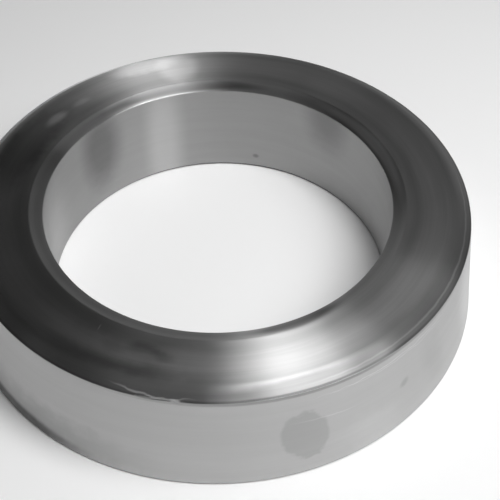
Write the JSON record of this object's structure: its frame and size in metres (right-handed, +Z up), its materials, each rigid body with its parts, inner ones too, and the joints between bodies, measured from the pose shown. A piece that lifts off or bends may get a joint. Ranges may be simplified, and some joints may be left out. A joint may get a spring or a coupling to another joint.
{
  "type": "rolled ring forging",
  "caption": "Thick rolled steel ring, turned flat on top, with a wide straight bore, a shallow lead-in cone at its mouth and a leaning outer wall.",
  "frame": {"origin": "centre of the ring's base, on its axis", "axes": "+Z up along the ring's axis, from the base towards the mouth with the lead-in cone; +X and +Y lie in the base"},
  "size_m": [0.2598, 0.2598, 0.0555],
  "materials": {
    "turned_steel": "turned, satin"
  },
  "bodies": {
    "root": {"rolled_ring": "turned_steel"}
  },
  "joints": []
}
